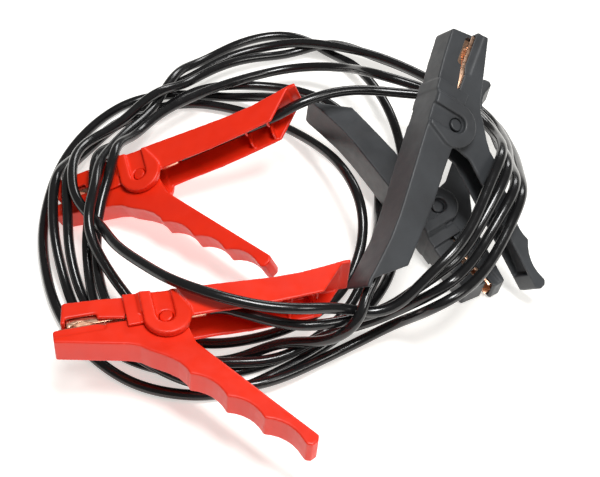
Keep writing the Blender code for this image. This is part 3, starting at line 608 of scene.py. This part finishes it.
def smooth_route(route, step):
    """Points at an even step on a smooth curve (centripetal) through route points."""
    points = np.array(route, float)
    ends = np.vstack([2 * points[0] - points[1], points, 2 * points[-1] - points[-2]])
    fine = []
    for p0, p1, p2, p3 in zip(ends, ends[1:], ends[2:], ends[3:]):
        t1 = np.linalg.norm(p1 - p0) ** 0.5
        t2 = t1 + np.linalg.norm(p2 - p1) ** 0.5
        t3 = t2 + np.linalg.norm(p3 - p2) ** 0.5
        for t in np.linspace(t1, t2, 12, endpoint=False):
            a1 = ((t1 - t) * p0 + t * p1) / t1
            a2 = ((t2 - t) * p1 + (t - t1) * p2) / (t2 - t1)
            a3 = ((t3 - t) * p2 + (t - t2) * p3) / (t3 - t2)
            b1 = ((t2 - t) * a1 + t * a2) / t2
            b2 = ((t3 - t) * a2 + (t - t1) * a3) / (t3 - t1)
            fine.append(((t2 - t) * b1 + (t - t1) * b2) / (t2 - t1))
    fine.append(points[-1])
    fine = np.array(fine)
    lengths = np.concatenate([[0.0], np.cumsum(np.linalg.norm(np.diff(fine, axis=0), axis=1))])
    places = np.linspace(0.0, lengths[-1], int(round(lengths[-1] / step)) + 1)
    return np.stack([np.interp(places, lengths, fine[:, k]) for k in range(3)], 1)


# ---- blocks that stand for the clamps: middle x, y; half x, y, z; turn in degrees
UPPER_BLOCKS = [(-33.0, 12.2, 20.5, 8.8, 8.5, 0.0), (-16.6, 8.5, 3.4, 10.2, 10.4, 0.0),
                (0.8, 2.0, 12.6, 15.0, 13.0, 0.0), (58.0, 7.2, 46.5, 9.6, 11.5, 0.0)]
LOWER_BLOCKS = [(-33.5, -1.0, 24.5, 5.6, 7.9, -6.0), (-8.0, -7.5, 14.0, 9.5, 7.9, -30.0),
                (30.6, -51.6, 51.0, 9.0, 7.9, -49.2)]
SQUEEZE_STEPS = 5


def clamp_blocks():
    """Every block the strands keep clear of, the lower handle's at each squeeze step."""
    blocks = []
    for name in CLAMPS:
        place, axes = clamp_axes(name)
        poses = [(UPPER_BLOCKS, axes)]
        for squeeze in np.linspace(0.0, SQUEEZE_RANGE, SQUEEZE_STEPS):
            poses.append((LOWER_BLOCKS, axes @ turned(squeeze)))
        for group, way in poses:
            for x, y, half_x, half_y, half_z, turn in group:
                middle = place + way @ np.array([x, y, 0.0])
                blocks.append((name, middle, way @ turned(turn), np.array([half_x, half_y, half_z])))
    return blocks


def push_from_blocks(points, blocks, free):
    """Moves that carry points out of the blocks; free marks points of a clamp's own cable."""
    moves = np.zeros_like(points)
    for name, middle, axes, half in blocks:
        local = (points - middle) @ axes
        depth = np.abs(local) - half
        outside = np.maximum(depth, 0.0)
        distance = np.linalg.norm(outside, axis=1)
        need = STRAND_CLEARANCE - (distance + np.minimum(depth.max(1), 0.0))
        close = (need > 0.0) & ~free[name]
        if not close.any():
            continue
        way = outside / np.maximum(distance, 1e-6)[:, None] * np.sign(local)
        inside = distance <= 1e-6
        nearest = np.argmax(depth, axis=1)
        rows = np.arange(len(local))
        straight = np.zeros_like(local)
        straight[rows, nearest] = np.sign(local[rows, nearest])
        way[inside] = straight[inside]
        moves[close] += (way * need[:, None])[close] @ axes.T * 0.5
    return moves


def ease_leads(routes):
    """Ease the strands apart and clear of the clamps; gives each lead's samples back."""
    samples = [smooth_route(route, ROUTE_STEP) for route in routes.values()]
    starts = np.cumsum([0] + [len(s) for s in samples])
    points = np.vstack(samples)
    drawn = points.copy()
    held = np.zeros(len(points), bool)
    free = {name: np.zeros(len(points), bool) for name in CLAMPS}
    lead = np.zeros(len(points), int)
    for n, key in enumerate(routes):
        first, last = starts[n], starts[n + 1]
        near, far = LEAD_ENDS[key]
        start_held = HELD_SHORT if near == "red_front" else HELD_LENGTH
        held[first:first + int(start_held / ROUTE_STEP)] = True
        held[last - int(HELD_LENGTH / ROUTE_STEP):last] = True
        free[near][first:first + int(FREE_LENGTH / ROUTE_STEP)] = True
        free[far][last - int(FREE_LENGTH / ROUTE_STEP):last] = True
        lead[first:last] = n
    blocks = clamp_blocks()
    order = np.arange(len(points))
    apart = (lead[:, None] != lead[None, :]) | (np.abs(order[:, None] - order[None, :]) > 4)
    first_of, second_of = np.where(np.triu(apart, 1))
    kernel = np.array([1, 2, 3, 4, 3, 2, 1.0]) / 16.0
    for step in range(EASING_ROUNDS):
        if step % 20 == 0:
            gaps = np.linalg.norm(points[first_of] - points[second_of], axis=1)
            near_a = first_of[gaps < 14.0]
            near_b = second_of[gaps < 14.0]
        between = points[near_a] - points[near_b]
        gap = np.linalg.norm(between, axis=1)
        tight = gap < STRAND_SPACING
        pull = (STRAND_SPACING - gap[tight]) * 0.35 / np.maximum(gap[tight], 1e-6)
        shove = pull[:, None] * between[tight]
        moves = push_from_blocks(points, blocks, free)
        np.add.at(moves, near_a[tight], shove)
        np.add.at(moves, near_b[tight], -shove)
        for n in range(len(samples)):
            part = slice(starts[n], starts[n + 1])
            own = moves[part].copy()
            own[:3] = 0.0
            own[-3:] = 0.0
            spread = np.stack([np.convolve(own[:, k], kernel, "same") for k in range(3)], 1) * 1.4
            bend = np.zeros_like(own)
            bend[1:-1] = (points[part][:-2] + points[part][2:]) / 2 - points[part][1:-1]
            stiff = np.zeros_like(own)
            stiff[1:-1] = (bend[:-2] + bend[2:]) / 2 - bend[1:-1]
            moves[part] = spread - stiff * 0.22
        if step < EASING_ROUNDS * 0.8:
            moves += (drawn - points) * 0.01
        moves[held] = 0.0
        points = points + np.clip(moves, -2.0, 2.0)
        points[:, 2] = np.maximum(points[:, 2], LOWEST_CENTRE)
        points[held] = drawn[held]
    return {key: points[starts[n]:starts[n + 1]] for n, key in enumerate(routes)}


def lead_paths():
    """The middle line of each lead, in world millimetres."""
    routes = {}
    for key, points in (("red_lead", RED_ROUTE), ("black_lead", BLACK_ROUTE)):
        near, far = LEAD_ENDS[key]
        routes[key] = cable_in_clamp(near) + [np.array(p, float) for p in points] + cable_in_clamp(far)[::-1]
    return ease_leads(routes)



# ---- the pieces ---------------------------------------------------------------------
def clamp_matrix(name):
    place, axes = clamp_axes(name)
    return Matrix.Translation(Vector(place + SET_SHIFT) * MM) @ Matrix(axes.tolist()).to_4x4()


def rounded(mesh, voxel, passes, kept_share):
    """The mesh with every edge rounded: a fine remesh, eased, then thinned where it is flat."""
    obj = add_object("rounding", mesh)
    remesh = obj.modifiers.new("fine", "REMESH")
    remesh.mode = "VOXEL"
    remesh.voxel_size = voxel * MM
    ease = obj.modifiers.new("ease", "SMOOTH")
    ease.factor = 0.5
    ease.iterations = passes
    thin = obj.modifiers.new("thin", "DECIMATE")
    thin.ratio = kept_share
    graph = bpy.context.evaluated_depsgraph_get()
    result = bpy.data.meshes.new_from_object(obj.evaluated_get(graph))
    bpy.data.objects.remove(obj, do_unlink=True)
    result.shade_smooth()
    return result


def stands_for(obj, node, slot, mats, body=HELD_BODY):
    """The piece replaces one CAD node, rides on its body and takes the slot's material."""
    obj.data.materials.clear()
    obj.data.materials.append(mats[slot])
    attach(obj, body)
    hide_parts(node)


def tube(name, points, radius, resolution):
    """A round wire along points in metres, with closed ends."""
    curve = bpy.data.curves.new(name, "CURVE")
    curve.dimensions = "3D"
    curve.bevel_depth = radius
    curve.bevel_resolution = resolution
    curve.use_fill_caps = True
    spline = curve.splines.new("POLY")
    spline.points.add(len(points) - 1)
    for point, place in zip(spline.points, points):
        point.co = (place[0], place[1], place[2], 1.0)
    spline.use_smooth = True
    obj = bpy.data.objects.new(name, curve)
    bpy.context.scene.collection.objects.link(obj)
    return obj


def make_leads(mats):
    for key, path in lead_paths().items():
        drawn = (smooth_route(path, FINE_STEP) + SET_SHIFT) * MM
        lead = tube(key.replace("_lead", "_cable"), drawn.tolist(), CABLE_DIAMETER / 2 * MM, 6)
        stands_for(lead, key, "cable_pvc", mats)


def deburred(mesh):
    """The sheet's mesh with its edges lightly rounded and its faces kept flat."""
    obj = add_object("deburring", mesh)
    bevel = obj.modifiers.new("deburr", "BEVEL")
    bevel.width = SHEET_ROUND * MM
    bevel.segments = 2
    bevel.limit_method = "ANGLE"
    bevel.angle_limit = SHARP_ANGLE
    graph = bpy.context.evaluated_depsgraph_get()
    result = bpy.data.meshes.new_from_object(obj.evaluated_get(graph))
    bpy.data.objects.remove(obj, do_unlink=True)
    result.shade_smooth()
    result.set_sharp_from_angle(angle=SHARP_ANGLE)
    return result


def clamp_shapes():
    """The four shaped pieces of a clamp in its own frame, shared by all four clamps."""
    return {
        "upper_handle": rounded(upper_handle_mesh(), HANDLE_VOXEL, HANDLE_PASSES, HANDLE_SHARE),
        "lower_handle": rounded(lower_handle_mesh(), HANDLE_VOXEL, HANDLE_PASSES, HANDLE_SHARE),
        "upper_jaw": deburred(upper_jaw_mesh()),
        "lower_jaw": deburred(lower_jaw_mesh()),
    }


def make_clamp(name, plastic, mats, shapes):
    matrix = clamp_matrix(name)
    squeeze = name + "_squeeze_half"
    for suffix, shape, slot, body in (
            ("upper_handle", shapes["upper_handle"], plastic, HELD_BODY),
            ("lower_handle", shapes["lower_handle"], plastic, squeeze),
            ("upper_jaw", shapes["upper_jaw"], "copper_sheet", HELD_BODY),
            ("lower_jaw", shapes["lower_jaw"], "copper_sheet", squeeze)):
        mesh = shape.copy()
        mesh.transform(matrix)
        obj = add_object(f"{name}_{suffix}_moulding", mesh)
        stands_for(obj, f"{name}_{suffix}", slot, mats, body)
    wire = [matrix @ Vector(point) for point in spring_points()]
    core = [matrix @ Vector((x * MM, BARREL_AXIS_Y * MM, 0.0))
            for x in (BARREL_SPAN[0] - 1.0, CABLE_START_X - CORE_END_GAP)]
    coil = tube("coil", wire, SPRING_WIRE / 2 * MM, 4)
    graph = bpy.context.evaluated_depsgraph_get()
    spring = add_object(name + "_spring_wire", bpy.data.meshes.new_from_object(coil.evaluated_get(graph)))
    spring.data.shade_smooth()
    bpy.data.objects.remove(coil, do_unlink=True)
    strands = tube(name + "_bare_strands", core, CORE_RADIUS * MM, 4)
    spring.data.materials.clear()
    spring.data.materials.append(mats["spring_steel"])
    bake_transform(spring)
    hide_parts(name + "_spring")
    stands_for(strands, name + "_core", "copper_sheet", mats)


add_camera()
materials = make_materials()
make_leads(materials)
clamp_set = clamp_shapes()
for clamp in CLAMPS:
    plastic_slot = "red_plastic" if clamp.startswith("red") else "charcoal_plastic"
    make_clamp(clamp, plastic_slot, materials, clamp_set)
light_the_set()
add_floor()

bpy.context.view_layer.update()
